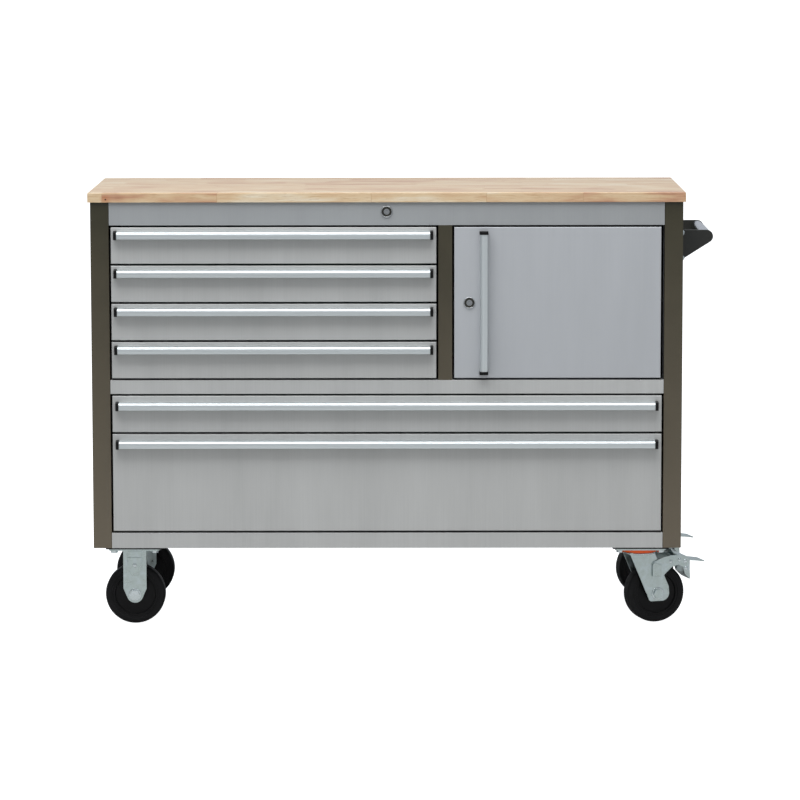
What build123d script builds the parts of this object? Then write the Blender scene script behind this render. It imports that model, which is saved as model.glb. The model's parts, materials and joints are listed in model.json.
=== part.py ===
from build123d import *
import math
import os

# Rolling tool chest, in millimetres. It is built with X from the middle of the cabinet, Y from the middle
# of its depth (the front looks along -Y) and Z from the floor. The last lines move it so that the origin
# is on the floor, in the middle of everything the chest covers.

# Worktop and overall size
overall_height = 900.0
worktop_length = 1220.0
worktop_depth = 460.0
worktop_thickness = 20.0
worktop_overhang = 5.0
worktop_edge_round = 2.0

# Cabinet sheet metal
side_sheet = 1.5
rail_sheet = 1.2
post_width = 37.5
post_return = 30.0
post_bend = 2.0
rail_flange = 30.0
rail_end_gap = 0.5
shelf_lip = 20.0
shelf_side_gap = 1.0
shelf_tab = 12.0

# The front, from the top down and from the left to the right
header_height = 47.2
front_gap = 4.2
side_gap = 4.0
hinge_side_gap = 6.9
narrow_drawers = 4
narrow_front_height = 74.3
narrow_front_width = 664.7
divider_width = 28.6
mid_rail_height = 28.0
shallow_front_height = 75.0
bottom_rail_height = 31.5

# Drawer fronts, door and trays
skin_sheet = 1.0
front_depth = 18.0
front_bend = 1.5
tray_sheet = 1.0
tray_hem = 8.0
tray_under_gap = 6.0
tray_over_gap = 10.0

# Ball-bearing slides
slide_step = 50.0
slide_back_room = 45.0
slide_width = 12.7
slide_height = 36.0
slide_sheet = 1.2
slide_play = 1.6
slide_lip = 10.0
slide_mid_offset = 3.0
slide_mid_lip = 7.6
slide_inner_lip = 6.7

# Aluminium pulls with plastic end caps
pull_height = 15.0
pull_projection = 18.0
pull_wall = 1.8
pull_round = 4.0
cap_length = 6.3
cap_lip = 1.5
cap_round = 3.0
narrow_pull_drop = 8.0
wide_pull_drop = 13.0
narrow_pull_margin = 6.2
wide_pull_margin = 7.4
door_pull_inset = 60.5
door_pull_margin = 8.0

# Door pivots
pivot_radius = 3.0
pivot_inset = 6.2
pivot_reach = 14.0
pivot_plate = 2.0
pivot_plate_length = 40.0
bush_wall = 1.0
bush_flange = 2.0
bush_flange_thickness = 1.2

# Tubular key locks
lock_flange_radius = 12.25
lock_flange_depth = 2.5
lock_body_radius = 9.5
lock_body_length = 20.0
lock_plug_radius = 6.0
lock_plug_setback = 0.5
keyway_outer = 4.2
keyway_inner = 2.8
keyway_depth = 4.0
keyway_notch = 1.4
cam_clearance = 1.0
cam_thickness = 2.5
cam_width = 12.0
door_cam_length = 45.0
door_lock_inset = 31.0
main_lock_drop = 19.5

# Lock rod and the bar behind the drawers
lock_rod_radius = 3.0
crank_radius = 16.0
crank_width = 8.0
crank_thickness = 4.0
crank_pin_radius = 2.0
crank_slot_play = 0.8
lock_bar_left = 5.0
lock_bar_width = 20.0
lock_bar_thickness = 3.0
lock_bar_back_gap = 15.0
lock_bar_top_wall = 4.0
lock_bar_foot_gap = 20.0
lock_hook_reach = 9.0
lock_hook_thickness = 3.0
lock_crank_gap = 2.0

# Push handle on the right side
handle_radius = 12.5
handle_wall = 2.0
handle_span = 262.0
handle_drop = 78.0
handle_reach = 54.5
handle_tip_radius = 13.5
handle_plate = 3.0
handle_plate_foot = 62.0
handle_flange_width = 24.0
handle_screw_radius = 3.0
handle_screw_head = 6.0
handle_screw_head_height = 3.6
handle_screw_inset = 5.5

# Casters
wheel_radius = 62.0
wheel_width = 36.0
wheel_edge_round = 7.0
tyre_inner_radius = 47.0
core_web = 24.0
core_rim = 5.0
hub_radius = 17.0
hub_width = 44.0
axle_radius = 5.0
axle_head_across_flats = 19.0
axle_head_height = 7.0
fork_inner_width = 46.0
fork_sheet = 3.0
wheel_head_room = 36.5
caster_inset_x = 81.5
caster_inset_y = 68.0
caster_plate = 4.0
caster_plate_x = 105.0
caster_plate_y = 85.0
caster_plate_corner = 8.0
caster_bolt_x = 84.0
caster_bolt_y = 60.0
caster_bolt_radius = 4.0
caster_bolt_across_flats = 13.0
caster_bolt_head = 5.3
caster_nut_height = 6.5
support_plate = 6.0
support_plate_x = 116.0
support_plate_y = 96.0
rigid_leg_width = 48.0
rigid_leg_straight = 13.0
rigid_leg_tip = 17.0
rigid_rib_width = 29.0
rigid_rib_foot = 40.0
rigid_rib_height = 0.8
swivel_trail = 32.0
swivel_turn = 16.0
swivel_crown_front = 30.0
swivel_crown_back = 24.0
swivel_leg_back = 26.0
swivel_leg_front = 17.5
swivel_leg_bend = 14.0
swivel_leg_foot = 16.0
swivel_foot_round_back = 16.0
swivel_foot_round_front = 6.0
seal_radius = 36.0
seal_height = 7.0
race_radius = 28.0
crown_radius = 33.0
crown_thickness = 4.0
kingpin_radius = 6.0
kingpin_head = 11.0
kingpin_head_height = 4.0
brake_arm_sheet = 3.0
brake_arm_round = 1.5
brake_pivot = (-1.0, 52.0)
brake_pivot_radius = 5.0
brake_pivot_skin = 1.2
brake_pedal_half_width = 22.0
brake_sheet = 2.5
brake_wheel_radius = 62.0

# Fits
running_clearance = 0.05
member_clearance = 0.3
bolt_hole_clearance = 0.25

# Where the main planes are
cabinet_half = worktop_length / 2 - worktop_overhang
cabinet_front = -worktop_depth / 2 + worktop_overhang
cabinet_back = worktop_depth / 2 - worktop_overhang
cabinet_top = overall_height - worktop_thickness
caster_height = 2 * wheel_radius + wheel_head_room
cabinet_bottom = caster_height + support_plate
opening_half = cabinet_half - post_width
inner_back = cabinet_back - rail_sheet
back_of_front = cabinet_front + front_depth

header_bottom = cabinet_top - header_height
narrow_tops = [
    header_bottom - front_gap - row * (narrow_front_height + front_gap) for row in range(narrow_drawers)
]
mid_rail_top = narrow_tops[-1] - narrow_front_height - front_gap
mid_rail_bottom = mid_rail_top - mid_rail_height
shallow_top = mid_rail_bottom - front_gap
deep_top = shallow_top - shallow_front_height - front_gap
bottom_rail_top = cabinet_bottom + bottom_rail_height
deep_front_height = deep_top - bottom_rail_top - front_gap
door_top = header_bottom - front_gap
door_bottom = mid_rail_top + front_gap

narrow_left = -opening_half + side_gap
narrow_right = narrow_left + narrow_front_width
divider_left = narrow_right + side_gap
divider_right = divider_left + divider_width
door_left = divider_right + side_gap
door_right = opening_half - hinge_side_gap

slide_length = slide_step * math.floor((cabinet_back - cabinet_front - slide_back_room) / slide_step)
slide_back = back_of_front + slide_length

pivot_x = door_right - pivot_inset
pivot_y = cabinet_front + front_depth / 2
main_lock_x = 0.0
main_lock_z = cabinet_top - main_lock_drop
door_lock_x = door_left + door_lock_inset
door_lock_z = (door_top + door_bottom) / 2
shelf_z = (mid_rail_top + header_bottom) / 2
lock_cam_front = cabinet_front + lock_body_length + cam_clearance

crank_offset = crank_radius * math.sin(math.radians(45))
lock_bar_back = inner_back - lock_bar_back_gap
lock_bar_front = lock_bar_back - lock_bar_thickness

handle_z = overall_height - worktop_thickness - handle_drop
handle_x = cabinet_half + handle_reach

caster_x = cabinet_half - caster_inset_x
caster_y = -cabinet_front - caster_inset_y
caster_plate_bottom = caster_height - caster_plate
fork_outer_half = fork_inner_width / 2 + fork_sheet
crown_top = caster_plate_bottom - seal_height - member_clearance

origin_x = (handle_x + handle_tip_radius - worktop_length / 2) / 2
origin_y = (worktop_depth / 2 + cabinet_front - pull_projection - cap_lip) / 2


def block(x, y, z):
    size = [high - low for low, high in (x, y, z)]
    middle = [(low + high) / 2 for low, high in (x, y, z)]
    return Pos(*middle) * Box(*size)


def rod_x(y, z, radius, x_low, x_high):
    return Pos((x_low + x_high) / 2, y, z) * Rot(0, 90, 0) * Cylinder(radius, x_high - x_low)


def rod_y(x, z, radius, y_low, y_high):
    return Pos(x, (y_low + y_high) / 2, z) * Rot(90, 0, 0) * Cylinder(radius, y_high - y_low)


def rod_z(x, y, radius, z_low, z_high):
    return Pos(x, y, (z_low + z_high) / 2) * Cylinder(radius, z_high - z_low)


def prism_x(outline, x_low, x_high):
    return extrude(Plane.YZ.offset(x_low) * outline, x_high - x_low, dir=(1, 0, 0))


def prism_y(outline, y_low, y_high):
    return extrude(Plane.XZ.offset(-y_high) * outline, y_high - y_low, dir=(0, -1, 0))


def hexagon_z(x, y, across_flats, z_low, z_high):
    flats = RegularPolygon(across_flats / 2, 6, major_radius=False)
    return Pos(x, y, z_low) * extrude(flats, z_high - z_low)


def hexagon_y(x, z, across_flats, y_low, y_high):
    flats = Pos(x, z) * RegularPolygon(across_flats / 2, 6, major_radius=False)
    return prism_y(flats, y_low, y_high)


def joined(pieces):
    whole = pieces[0]
    for piece in pieces[1:]:
        whole = whole + piece
    return whole


def upright_edges_at(shape, x, y):
    return [
        edge
        for edge in shape.edges().filter_by(Axis.Z)
        if abs(edge.center().X - x) < 0.01 and abs(edge.center().Y - y) < 0.01
    ]


def corner_at(outline, x, y):
    return min(outline.vertices(), key=lambda corner: abs(corner.X - x) + abs(corner.Y - y))


def caster_places(side):
    return [(side * caster_x, front_or_back * caster_y) for front_or_back in (-1, 1)]


def caster_bolt_places():
    places = []
    for side in (-1, 1):
        for x, y in caster_places(side):
            for step_x in (-1, 1):
                for step_y in (-1, 1):
                    places.append((x + step_x * caster_bolt_x / 2, y + step_y * caster_bolt_y / 2))
    return places


def bolt_holes(z_low, z_high):
    radius = caster_bolt_radius + bolt_hole_clearance
    return [rod_z(x, y, radius, z_low, z_high) for x, y in caster_bolt_places()]


def handle_screw_places():
    # Each bracket's flange lies on the side panel, outwards from the plate, with a screw near each end.
    screw_y = handle_span / 2 + handle_flange_width / 2
    top = handle_z + handle_tip_radius
    heights = (top - handle_screw_inset, top - handle_plate_foot + handle_screw_inset)
    return [(end * screw_y, height) for end in (-1, 1) for height in heights]


# Cabinet


def worktop():
    slab = block(
        (-worktop_length / 2, worktop_length / 2),
        (-worktop_depth / 2, worktop_depth / 2),
        (cabinet_top, overall_height),
    )
    return fillet(slab.edges().group_by(Axis.Z)[-1], worktop_edge_round)


def side_panel(side):
    height = (cabinet_bottom, cabinet_top)
    outer = cabinet_half
    web = block((outer - side_sheet, outer), (cabinet_front, cabinet_back), height)
    pieces = [web]
    for face, inward in ((cabinet_front, 1), (cabinet_back, -1)):
        flange = sorted((face, face + inward * side_sheet))
        back = sorted((face, face + inward * post_return))
        pieces.append(block((opening_half, outer), flange, height))
        pieces.append(block((opening_half, opening_half + side_sheet), back, height))
    panel = joined(pieces)
    for x in (opening_half, outer):
        panel = fillet(upright_edges_at(panel, x, cabinet_front), post_bend / 2)
    if side > 0:
        radius = handle_screw_radius + bolt_hole_clearance
        for y, z in handle_screw_places():
            panel -= rod_x(y, z, radius, outer - 2 * side_sheet, outer + side_sheet)
        return panel
    return mirror(panel, about=Plane.YZ)


def back_panel():
    half = opening_half - rail_end_gap
    panel = block((-half, half), (inner_back, cabinet_back), (cabinet_bottom, cabinet_top))
    bearing = lock_rod_radius + running_clearance
    return panel - rod_y(main_lock_x, main_lock_z, bearing, inner_back - 1, cabinet_back + 1)


def front_rail(low, high, upper_flange, lower_flange):
    # A folded rail between the posts; each flange is how far it runs back from the front.
    half = opening_half - rail_end_gap
    face = block((-half, half), (cabinet_front, cabinet_front + rail_sheet), (low, high))
    upper = block((-half, half), (cabinet_front, cabinet_front + upper_flange), (high - rail_sheet, high))
    lower = block((-half, half), (cabinet_front, cabinet_front + lower_flange), (low, low + rail_sheet))
    return face + upper + lower


def header_rail():
    rail = front_rail(header_bottom, cabinet_top, rail_flange, rail_flange)
    hole = lock_body_radius + bolt_hole_clearance
    return rail - rod_y(main_lock_x, main_lock_z, hole, cabinet_front - 1, cabinet_front + 2 * rail_sheet)


def mid_deck():
    deck = front_rail(mid_rail_bottom, mid_rail_top, inner_back - cabinet_front, rail_flange / 2)
    play = crank_slot_play
    slot_x = (lock_bar_left - play, lock_bar_left + lock_bar_width + play)
    slot_y = (lock_bar_front - play, lock_bar_back + play)
    return deck - block(slot_x, slot_y, (mid_rail_top - 2 * rail_sheet, mid_rail_top + 1))


def bottom_pan():
    # The floor widens behind the posts, to take the casters' outer bolts.
    pan = front_rail(cabinet_bottom, bottom_rail_top, rail_flange / 2, inner_back - cabinet_front)
    wing_x = cabinet_half - side_sheet - rail_end_gap
    wing_y = cabinet_back - post_return - rail_end_gap
    pan += block((-wing_x, wing_x), (-wing_y, wing_y), (cabinet_bottom, cabinet_bottom + rail_sheet))
    for hole in bolt_holes(cabinet_bottom - 1, cabinet_bottom + 2 * rail_sheet):
        pan -= hole
    return pan


def center_divider():
    height = (mid_rail_top, header_bottom)
    depth = (cabinet_front, inner_back)
    outside = block((divider_left, divider_right), depth, height)
    inside = block(
        (divider_left + rail_sheet, divider_right - rail_sheet),
        (cabinet_front + rail_sheet, inner_back + 1),
        (mid_rail_top - 1, header_bottom + 1),
    )
    divider = outside - inside
    for x in (divider_left, divider_right):
        divider = fillet(upright_edges_at(divider, x, cabinet_front), post_bend / 2)
    # The door's lock cam swings up into this slot from below.
    slot = block(
        (divider_right - 2 * rail_sheet, divider_right + 1),
        (lock_cam_front - cam_thickness, lock_cam_front + 2 * cam_thickness),
        (door_lock_z - door_cam_length, door_lock_z + cam_width),
    )
    tab = block(
        (divider_right, divider_right + shelf_tab),
        (back_of_front + rail_flange, inner_back),
        (shelf_z - rail_sheet, shelf_z),
    )
    return divider - slot + tab


def compartment_liner():
    inner = opening_half - side_sheet
    front = back_of_front + side_gap / 2
    wall = block((inner, opening_half), (front, inner_back), (mid_rail_top, header_bottom))
    tab = block(
        (inner - shelf_tab, inner),
        (back_of_front + rail_flange, inner_back),
        (shelf_z - rail_sheet, shelf_z),
    )
    return wall + tab


def cabinet_shelf():
    x = (divider_right + shelf_side_gap, opening_half - side_sheet - shelf_side_gap)
    y = (back_of_front + rail_flange, inner_back - shelf_side_gap)
    sheet = block(x, y, (shelf_z, shelf_z + rail_sheet))
    lip_x = (x[0] + shelf_tab + shelf_side_gap, x[1] - shelf_tab - shelf_side_gap)
    lip_z = (shelf_z - shelf_lip, shelf_z)
    front_lip = block(lip_x, (y[0], y[0] + rail_sheet), lip_z)
    back_lip = block(lip_x, (y[1] - rail_sheet, y[1]), lip_z)
    return sheet + front_lip + back_lip


# Drawers


def folded_skin(x, z):
    # A front pressed from one sheet: a face with its four edges folded back.
    outside = block(x, (cabinet_front, back_of_front), z)
    outside = fillet(outside.edges().group_by(Axis.Y)[0], front_bend)
    inside = block(
        (x[0] + skin_sheet, x[1] - skin_sheet),
        (cabinet_front + skin_sheet, back_of_front + 1),
        (z[0] + skin_sheet, z[1] - skin_sheet),
    )
    return outside - inside


def slide_channel(wall_x, inward, offset, height, lip, opens_inward, z, y):
    # One C-shaped slide member. inward is the direction from the cabinet wall towards the drawer.
    low, high = wall_x + inward * offset, wall_x + inward * (offset + lip)
    web_end = low + inward * slide_sheet if opens_inward else high - inward * slide_sheet
    web_start = low if opens_inward else high
    web = block(sorted((web_start, web_end)), y, (z - height / 2, z + height / 2))
    lips = [
        block(sorted((low, high)), y, sorted((z + up * height / 2, z + up * (height / 2 - slide_sheet))))
        for up in (-1, 1)
    ]
    return web + lips[0] + lips[1]


mid_member_height = slide_height - 2 * (slide_sheet + slide_play)
inner_member_height = mid_member_height - 2 * (slide_sheet + slide_play)


def slide_members(x_walls, z):
    # Both sides of one drawer's slides: the outer, middle and inner members.
    y = (back_of_front, slide_back)
    inner_offset = slide_width - slide_inner_lip
    outer, middle, inner = [], [], []
    for wall_x, inward in ((x_walls[0], 1), (x_walls[1], -1)):
        outer.append(slide_channel(wall_x, inward, 0, slide_height, slide_lip, True, z, y))
        middle.append(
            slide_channel(wall_x, inward, slide_mid_offset, mid_member_height, slide_mid_lip, True, z, y)
        )
        inner.append(
            slide_channel(wall_x, inward, inner_offset, inner_member_height, slide_inner_lip, False, z, y)
        )
    return outer, middle, inner


def tray(x_walls, z):
    # Five welded sheets: a bottom, two sides, and a front and a back between the sides. Every wall ends in a
    # hem folded inwards.
    sheet, hem_z = tray_sheet, (z[1] - tray_hem, z[1])
    x = (x_walls[0] + slide_width, x_walls[1] - slide_width)
    y = (back_of_front, slide_back)
    wall_z = (z[0] + sheet, z[1])
    sheets = [block(x, y, (z[0], wall_z[0]))]
    for edge, inward in ((x[0], 1), (x[1], -1)):
        wall = block(sorted((edge, edge + inward * sheet)), y, wall_z)
        fold = sorted((edge + inward * sheet, edge + 2 * inward * sheet))
        sheets.append(wall + block(fold, (y[0] + sheet, y[1] - sheet), hem_z))
    for edge, inward in ((y[0], 1), (y[1], -1)):
        wall = block((x[0] + sheet, x[1] - sheet), sorted((edge, edge + inward * sheet)), wall_z)
        fold = sorted((edge + inward * sheet, edge + 2 * inward * sheet))
        sheets.append(wall + block((x[0] + 2 * sheet, x[1] - 2 * sheet), fold, hem_z))
    return sheets


def pull_outline(projection, height, corner):
    # Across the pull: first coordinate towards the front it is fixed to, second up. The back is at 0.
    body = Pos(-projection / 2, -height / 2) * Rectangle(projection, height)
    front_corner = [v for v in body.vertices() if v.X < -projection / 2 and v.Y > -height / 2]
    return fillet(front_corner, corner)


def pull(length):
    # A pull and its two caps, lying along X, fixed at Y 0 with its top at Z 0 and its fingers' gap below.
    bar_half = length / 2 - cap_length
    outline = pull_outline(pull_projection, pull_height, pull_round)
    hollow_width = pull_projection - 2 * pull_wall
    hollow = Pos(-pull_projection / 2, -pull_height / 2 - pull_wall) * Rectangle(hollow_width, pull_height)
    hollow_corner = [v for v in hollow.vertices() if v.X < -pull_projection / 2 and v.Y > -pull_height / 2]
    hollow = fillet(hollow_corner, pull_round - pull_wall)
    bar = prism_x(outline - hollow, -bar_half, bar_half)
    cap = Pos(0, cap_lip) * pull_outline(pull_projection + cap_lip, pull_height + 2 * cap_lip, cap_round)
    caps = [prism_x(cap, -length / 2, -bar_half), prism_x(cap, bar_half, length / 2)]
    return [bar] + caps


def drawer(x, top, height, x_walls, pull_drop, pull_margin):
    bottom = top - height
    tray_z = (bottom + tray_under_gap, top - tray_over_gap)
    outer, middle, inner = slide_members(x_walls, (tray_z[0] + tray_z[1]) / 2)
    place = Pos((x[0] + x[1]) / 2, cabinet_front, top - pull_drop)
    pieces = {
        "front": [folded_skin(x, (bottom, top))],
        "box": tray(x_walls, tray_z) + inner,
        "pull": [place * piece for piece in pull(x[1] - x[0] - 2 * pull_margin)],
        "slide_middles": middle,
    }
    return pieces, outer


# Locks


def lock_housing(x, z):
    # A round flange on the face and a barrel behind it.
    flange = rod_y(x, z, lock_flange_radius, cabinet_front - lock_flange_depth, cabinet_front)
    flange = fillet(flange.edges().group_by(Axis.Y)[0], lock_flange_depth / 2)
    barrel = rod_y(x, z, lock_body_radius, cabinet_front, cabinet_front + lock_body_length)
    bore = rod_y(
        x,
        z,
        lock_plug_radius + running_clearance,
        cabinet_front - 2 * lock_flange_depth,
        cabinet_front + 2 * lock_body_length,
    )
    return flange + barrel - bore


def lock_plug(x, z):
    # The turning barrel with its ring-shaped keyway and the key's notch.
    face = cabinet_front - lock_flange_depth + lock_plug_setback
    body = rod_y(x, z, lock_plug_radius, face, lock_cam_front)
    ring = rod_y(x, z, keyway_outer, face - 1, face + keyway_depth) - rod_y(
        x, z, keyway_inner, face - 2, face + keyway_depth + 1
    )
    notch = block(
        (x - keyway_notch / 2, x + keyway_notch / 2),
        (face - 1, face + keyway_depth),
        (z + keyway_inner, z + lock_plug_radius - keyway_notch / 2),
    )
    return body - ring - notch


def door_lock_plug():
    # The cam hangs down when the door is unlocked and points at the divider when it is locked.
    cam = block(
        (door_lock_x - cam_width / 2, door_lock_x + cam_width / 2),
        (lock_cam_front, lock_cam_front + cam_thickness),
        (door_lock_z - door_cam_length, door_lock_z + cam_width / 2),
    )
    return lock_plug(door_lock_x, door_lock_z) + cam


def main_lock_rod():
    rod = rod_y(main_lock_x, main_lock_z, lock_rod_radius, lock_cam_front, cabinet_back)
    crank_back = lock_bar_front - lock_crank_gap
    arm_y = (crank_back - crank_thickness, crank_back)
    arm = Pos(main_lock_x, 0, main_lock_z) * Rot(0, 45, 0) * block(
        (0, crank_radius + crank_width / 2), arm_y, (-crank_width / 2, crank_width / 2)
    )
    pin = rod_y(
        main_lock_x + crank_offset,
        main_lock_z - crank_offset,
        crank_pin_radius,
        crank_back - crank_thickness,
        lock_bar_back + lock_crank_gap / 2,
    )
    return rod + arm + pin


def lock_bar(drawer_tops):
    slot_half = crank_pin_radius + crank_slot_play
    slot_z = main_lock_z - crank_offset
    top = slot_z + slot_half + lock_bar_top_wall
    x = (main_lock_x + lock_bar_left, main_lock_x + lock_bar_left + lock_bar_width)
    y = (lock_bar_front, lock_bar_back)
    bar = block(x, y, (bottom_rail_top + lock_bar_foot_gap, top))
    slot_x = (main_lock_x + crank_offset - slot_half, main_lock_x + crank_radius + slot_half)
    bar -= block(slot_x, (y[0] - 1, y[1] + 1), (slot_z - slot_half, slot_z + slot_half))
    for drawer_top in drawer_tops:
        hook_z = drawer_top - tray_over_gap - tray_hem
        bar += block(x, (y[0] - lock_hook_reach, y[0]), (hook_z - lock_hook_thickness, hook_z))
    return bar


# Door


def pivot_holes(radius):
    # Drilled through the door's top and bottom folds.
    return [
        rod_z(pivot_x, pivot_y, radius, door_top - 4 * skin_sheet, door_top + 1),
        rod_z(pivot_x, pivot_y, radius, door_bottom - 1, door_bottom + 4 * skin_sheet),
    ]


def door_skin():
    skin = folded_skin((door_left, door_right), (door_bottom, door_top))
    for hole in pivot_holes(pivot_radius + bush_wall):
        skin -= hole
    hole = lock_body_radius + bolt_hole_clearance
    return skin - rod_y(door_lock_x, door_lock_z, hole, cabinet_front - 1, cabinet_front + 2 * skin_sheet)


def door_inner_pan():
    # A pan with its rim turned forwards, pressed into the back of the skin.
    x = (door_left + skin_sheet, door_right - skin_sheet)
    z = (door_bottom + skin_sheet, door_top - skin_sheet)
    outside = block(x, (cabinet_front + front_depth / 6, back_of_front), z)
    inside = block(
        (x[0] + skin_sheet, x[1] - skin_sheet),
        (cabinet_front, back_of_front - skin_sheet),
        (z[0] + skin_sheet, z[1] - skin_sheet),
    )
    pan = outside - inside
    for hole in pivot_holes(pivot_radius + bush_wall):
        pan -= hole
    hole = lock_body_radius + bolt_hole_clearance
    return pan - rod_y(door_lock_x, door_lock_z, hole, back_of_front - 2 * skin_sheet, back_of_front + 1)


def door_pull():
    # The same pull stood on end, with its gap towards the hinge side.
    length = door_top - door_bottom - 2 * door_pull_margin
    place = Pos(door_left + door_pull_inset - pull_height / 2, cabinet_front, (door_top + door_bottom) / 2)
    return [place * Rot(0, -90, 0) * piece for piece in pull(length)]


def door_hinge_bushes():
    bushes = []
    for face, inward in ((door_bottom, 1), (door_top, -1)):
        sleeve = sorted((face, face + inward * pivot_reach))
        flange = sorted((face, face - inward * bush_flange_thickness))
        outer = pivot_radius + bush_wall
        bush = rod_z(pivot_x, pivot_y, outer, *sleeve)
        bush += rod_z(pivot_x, pivot_y, outer + bush_flange, *flange)
        bore = pivot_radius + running_clearance
        ends = sleeve + flange
        bushes.append(bush - rod_z(pivot_x, pivot_y, bore, min(ends) - 1, max(ends) + 1))
    return bushes


def door_hinge_pins():
    # Each pin stands on a plate fixed to the deck below the door or to the header above it.
    pins = []
    half = pivot_plate_length / 2
    for seat, inward in ((mid_rail_top, 1), (header_bottom, -1)):
        plate_z = sorted((seat, seat + inward * pivot_plate))
        tip = seat + inward * (front_gap + pivot_reach)
        plate = block(
            (pivot_x - pivot_plate_length + pivot_inset, pivot_x + pivot_inset),
            (pivot_y - pivot_radius - bush_wall, pivot_y + half),
            plate_z,
        )
        pins.append(plate + rod_z(pivot_x, pivot_y, pivot_radius, *sorted((seat, tip))))
    return pins


# Push handle


def handle_brackets():
    # A triangular plate whose round nose closes the tube's end, and a flange folded away from the tube.
    top = handle_z + handle_tip_radius
    foot = top - handle_plate_foot
    nose = Pos(handle_x, handle_z) * Circle(handle_tip_radius)
    edge = Polygon(
        (cabinet_half, top),
        (cabinet_half, foot),
        (cabinet_half + handle_plate, foot),
        (handle_x, top),
        align=None,
    )
    outline = make_hull(nose.edges() + edge.edges())
    brackets = []
    for end in (-1, 1):
        y = sorted((end * handle_span / 2, end * (handle_span / 2 + handle_plate)))
        plate = prism_y(outline, *y)
        flange_y = sorted((end * handle_span / 2, end * (handle_span / 2 + handle_flange_width)))
        flange = block((cabinet_half, cabinet_half + handle_plate), flange_y, (foot, top))
        bracket = plate + flange
        radius = handle_screw_radius + bolt_hole_clearance
        for screw_y, screw_z in handle_screw_places():
            bracket -= rod_x(screw_y, screw_z, radius, cabinet_half - 1, cabinet_half + 2 * handle_plate)
        brackets.append(bracket)
    return brackets


def handle_tube():
    half = handle_span / 2
    outside = rod_y(handle_x, handle_z, handle_radius, -half, half)
    return outside - rod_y(handle_x, handle_z, handle_radius - handle_wall, -half - 1, half + 1)


def handle_screws():
    screws = []
    inner = cabinet_half - side_sheet - handle_screw_head_height
    head_start = cabinet_half + handle_plate
    for y, z in handle_screw_places():
        shank = rod_x(y, z, handle_screw_radius, inner, head_start)
        head = rod_x(y, z, handle_screw_head, head_start, head_start + handle_screw_head_height)
        head = fillet(head.edges().group_by(Axis.X)[-1], handle_screw_head_height / 2)
        nut = rod_x(y, z, handle_screw_head, inner, cabinet_half - side_sheet)
        screws.append(shank + head + nut)
    return screws


# Casters


def caster_support_plates():
    plates = []
    for side in (-1, 1):
        for x, y in caster_places(side):
            plates.append(
                block(
                    (x - support_plate_x / 2, x + support_plate_x / 2),
                    (y - support_plate_y / 2, y + support_plate_y / 2),
                    (caster_height, cabinet_bottom),
                )
            )
    holes = bolt_holes(caster_height - 1, cabinet_bottom + 1)
    return [drilled(plate, holes) for plate in plates]


def drilled(piece, holes):
    for hole in holes:
        piece -= hole
    return piece


def caster_top_plate(x, y):
    plate = Pos(x, y, caster_plate_bottom) * extrude(
        RectangleRounded(caster_plate_x, caster_plate_y, caster_plate_corner), caster_plate
    )
    return drilled(plate, bolt_holes(caster_plate_bottom - 1, caster_height + 1))


def caster_bolts():
    bolts = []
    nut_low = cabinet_bottom + rail_sheet
    head_low = caster_plate_bottom - caster_bolt_head
    for x, y in caster_bolt_places():
        head = hexagon_z(x, y, caster_bolt_across_flats, head_low, caster_plate_bottom)
        shank = rod_z(x, y, caster_bolt_radius, caster_plate_bottom, nut_low + caster_nut_height)
        nut = hexagon_z(x, y, caster_bolt_across_flats, nut_low, nut_low + caster_nut_height)
        bolts.append(head + shank + nut)
    return bolts


def axle_bolt(x, y):
    # Head in front, nut behind, lying along Y.
    near, far = y - fork_outer_half, y + fork_outer_half
    head = hexagon_y(x, wheel_radius, axle_head_across_flats, near - axle_head_height, near)
    shank = rod_y(x, wheel_radius, axle_radius, near, far)
    nut = hexagon_y(x, wheel_radius, axle_head_across_flats, far, far + axle_head_height)
    return head + shank + nut


def rigid_fork(x, y):
    width = rigid_leg_width
    straight = wheel_radius + rigid_leg_straight
    upper = Pos(0, (straight + caster_plate_bottom) / 2) * Rectangle(width, caster_plate_bottom - straight)
    tip = Pos(0, wheel_radius) * Circle(rigid_leg_tip)
    outline = make_hull(upper.edges() + tip.edges())
    rib_top = caster_plate_bottom - fork_sheet
    rib_foot = wheel_radius + rigid_rib_foot
    rib = Polygon(
        (-rigid_rib_width / 2, rib_top),
        (rigid_rib_width / 2, rib_top),
        (rigid_rib_width / 2, rib_foot + rigid_rib_width / 2),
        (rigid_rib_width / 5, rib_foot),
        (-rigid_rib_width / 5, rib_foot),
        (-rigid_rib_width / 2, rib_foot + rigid_rib_width / 2),
        align=None,
    )
    pieces = []
    half = fork_inner_width / 2
    for side in (-1, 1):
        pieces.append(prism_y(outline, *sorted((side * half, side * fork_outer_half))))
        pieces.append(prism_y(rib, *sorted((side * half, side * (fork_outer_half + rigid_rib_height)))))
    crown_z = (caster_plate_bottom - fork_sheet, caster_plate_bottom)
    pieces.append(block((-width / 2, width / 2), (-half, half), crown_z))
    fork = Pos(x, y, 0) * joined(pieces) + caster_top_plate(x, y)
    return fork - rod_y(x, wheel_radius, axle_radius + bolt_hole_clearance, y - hub_width, y + hub_width)


def swivel_plate(x, y):
    # The fixed half of the swivel: plate, upper race and the kingpin that the crown turns on.
    race = rod_z(x, y, race_radius, crown_top + 2 * member_clearance, caster_plate_bottom)
    pin_low = crown_top - crown_thickness - member_clearance
    pin = rod_z(x, y, kingpin_radius, pin_low, caster_plate_bottom)
    head = rod_z(x, y, kingpin_head, pin_low - kingpin_head_height, pin_low)
    return caster_top_plate(x, y) + race + pin + head


def dust_seal(x, y):
    low, high = crown_top + member_clearance, caster_plate_bottom
    ring = rod_z(x, y, seal_radius, low, high)
    ring = fillet(ring.edges().group_by(Axis.Z)[0], member_clearance * 5)
    return ring - rod_z(x, y, race_radius + running_clearance, low - 1, high + 1)


def swivelled(piece, y):
    return Pos(caster_x, y, 0) * Rot(0, 0, swivel_turn) * piece


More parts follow.
